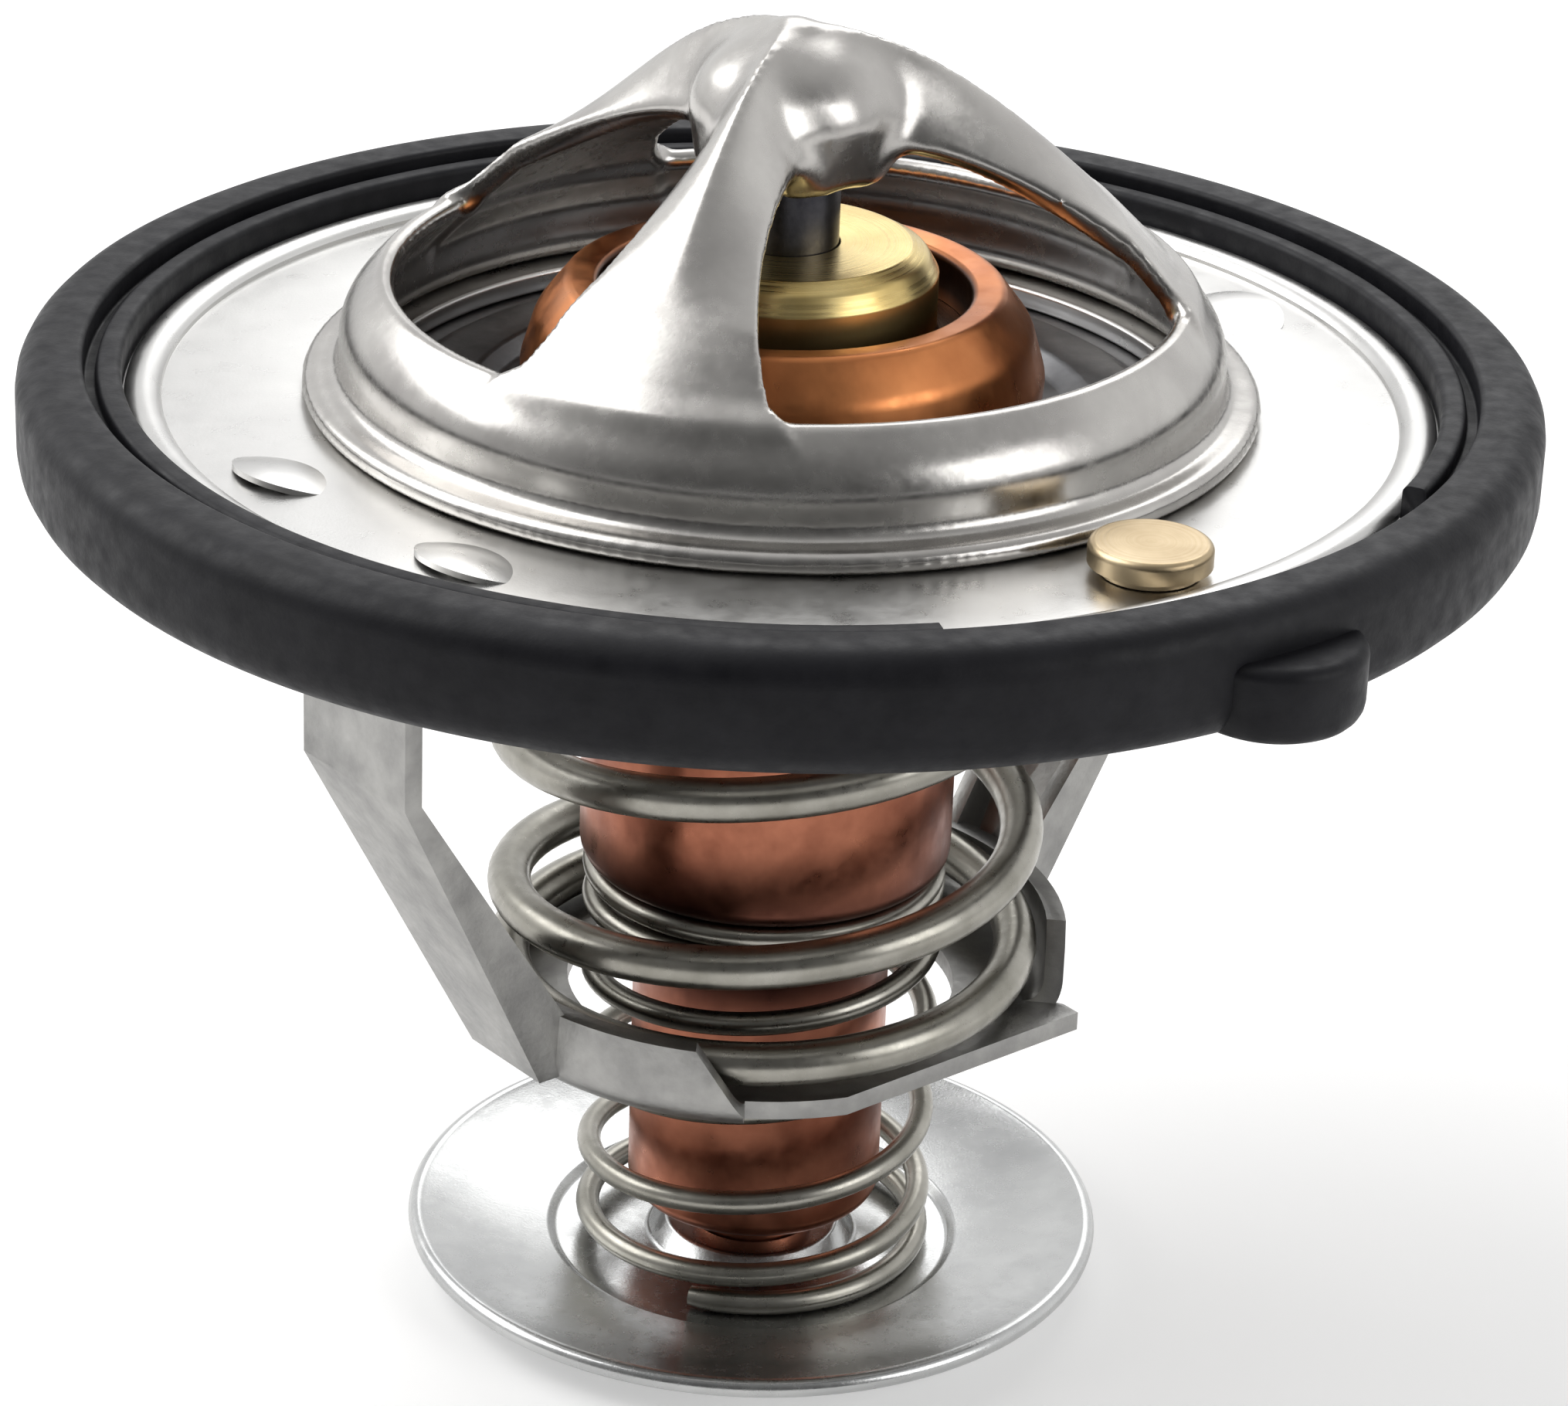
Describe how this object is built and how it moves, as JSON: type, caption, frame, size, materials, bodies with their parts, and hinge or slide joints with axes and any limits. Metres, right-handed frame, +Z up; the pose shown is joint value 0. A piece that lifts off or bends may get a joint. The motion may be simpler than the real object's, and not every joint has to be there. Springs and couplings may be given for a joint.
{
  "type": "engine thermostat",
  "caption": "Wax-element coolant thermostat with a three-arm bridge, rubber-edged flange, folded lower frame, main valve and sprung bypass disc.",
  "frame": {"origin": "on the main axis, at the underside of the bypass disc that the part stands on", "axes": "+Z up along the main axis, from the bypass disc to the bridge; +X to the right of the front view"},
  "size_m": [0.0604, 0.0604, 0.0547],
  "materials": {
    "flange_plate": "bright pressed steel",
    "bridge": "satin deep-drawn steel",
    "gasket": "charcoal moulded rubber",
    "lower_frame": "matte grainy steel",
    "piston_pin": "dark polished steel",
    "vent_pin": "dull turned brass",
    "vent_weight": "dull turned brass",
    "element_case": "drawn copper, lightly tarnished",
    "piston_guide": "turned brass, polished face",
    "backup_washer": "hard white plastic",
    "rubber_sleeve": "moulded rubber",
    "wax_charge": "filled wax",
    "main_valve_disc": "dull pressed steel",
    "main_spring": "oiled spring steel",
    "bypass_disc": "bright pressed steel with fine scratches",
    "bypass_spring": "oiled spring steel",
    "bypass_stem": "turned steel",
    "retaining_clip": "spring steel"
  },
  "bodies": {
    "housing_side": {"flange_plate": "flange_plate", "bridge": "bridge", "gasket": "gasket", "lower_frame": "lower_frame", "piston_pin": "piston_pin", "main_spring": "main_spring"},
    "main_valve": {"element_case": "element_case", "piston_guide": "piston_guide", "backup_washer": "backup_washer", "rubber_sleeve": "rubber_sleeve", "wax_charge": "wax_charge", "main_valve_disc": "main_valve_disc", "bypass_stem": "bypass_stem", "retaining_clip": "retaining_clip", "bypass_spring": "bypass_spring"},
    "bypass_valve": {"bypass_disc": "bypass_disc"},
    "vent": {"vent_pin": "vent_pin", "vent_weight": "vent_weight"}
  },
  "joints": [
    {"name": "main_valve_stroke", "type": "slide", "parent": "housing_side", "child": "main_valve", "axis": [0, 0, -1], "range_m": [0, 0.008], "stiffness_N_per_m": 3350, "springref_m": -0.015, "deforming": ["main_spring"]},
    {"name": "bypass_valve_stroke", "type": "slide", "parent": "main_valve", "child": "bypass_valve", "axis": [0, 0, 1], "range_m": [0, 0.0014], "stiffness_N_per_m": 860, "springref_m": -0.008, "deforming": ["bypass_spring"]},
    {"name": "vent_lift", "type": "slide", "parent": "housing_side", "child": "vent", "axis": [0, 0, 1], "range_m": [0, 0.0012]}
  ]
}
